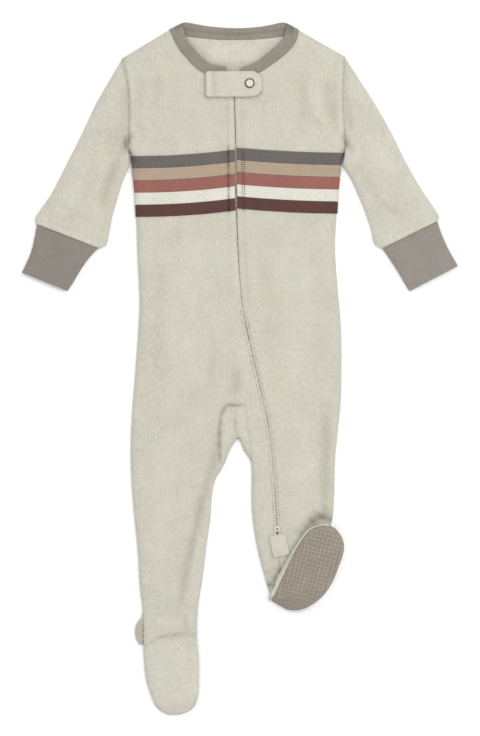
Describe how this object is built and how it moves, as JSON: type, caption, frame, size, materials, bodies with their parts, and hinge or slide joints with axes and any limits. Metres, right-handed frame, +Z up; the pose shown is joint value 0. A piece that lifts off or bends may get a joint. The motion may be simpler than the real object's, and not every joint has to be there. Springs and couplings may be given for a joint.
{
  "type": "footed baby sleepsuit",
  "caption": "Footed baby sleepsuit laid flat, with zip front, chin tab, rib cuffs and neckband, chest stripes and grip soles, one foot folded up.",
  "frame": {"origin": "centre of the footprint on the surface the suit lies on", "axes": "+Y towards the neck, +X towards the wearer's left, +Z up off the surface"},
  "size_m": [0.4582, 0.7273, 0.0144],
  "materials": {
    "velour": "cotton velour, cream, soft nap",
    "rib_knit": "fine rib knit, taupe",
    "grip_sole": "knit sole with small grip dots, taupe",
    "zip": "moulded plastic, off-white",
    "snap": "off-white centre in a dark metal ring",
    "tape_grey": "ribbed tape, grey",
    "tape_tan": "ribbed tape, tan",
    "tape_rose": "ribbed tape, dusty rose",
    "tape_cream": "ribbed tape, cream",
    "tape_plum": "ribbed tape, plum brown"
  },
  "bodies": {
    "root": {"back": "velour", "front_right": "velour", "front_left": "velour", "crotch_gusset": "velour", "sleeve_right": "velour", "sleeve_left": "velour", "cuff_right": "rib_knit", "cuff_left": "rib_knit", "neckband": "rib_knit", "zip_chain": "zip", "zip_slider_lower": "zip", "chin_tab": "velour", "snap_cap": "snap", "zip_guard_lower": "velour", "vamp_right": "velour", "vamp_left": "velour", "sole_right": "grip_sole", "sole_left": "grip_sole", "stripe_grey_right": "tape_grey", "stripe_grey_left": "tape_grey", "stripe_tan_right": "tape_tan", "stripe_tan_left": "tape_tan", "stripe_rose_right": "tape_rose", "stripe_rose_left": "tape_rose", "stripe_cream_right": "tape_cream", "stripe_cream_left": "tape_cream", "stripe_plum_right": "tape_plum", "stripe_plum_left": "tape_plum"}
  },
  "joints": []
}
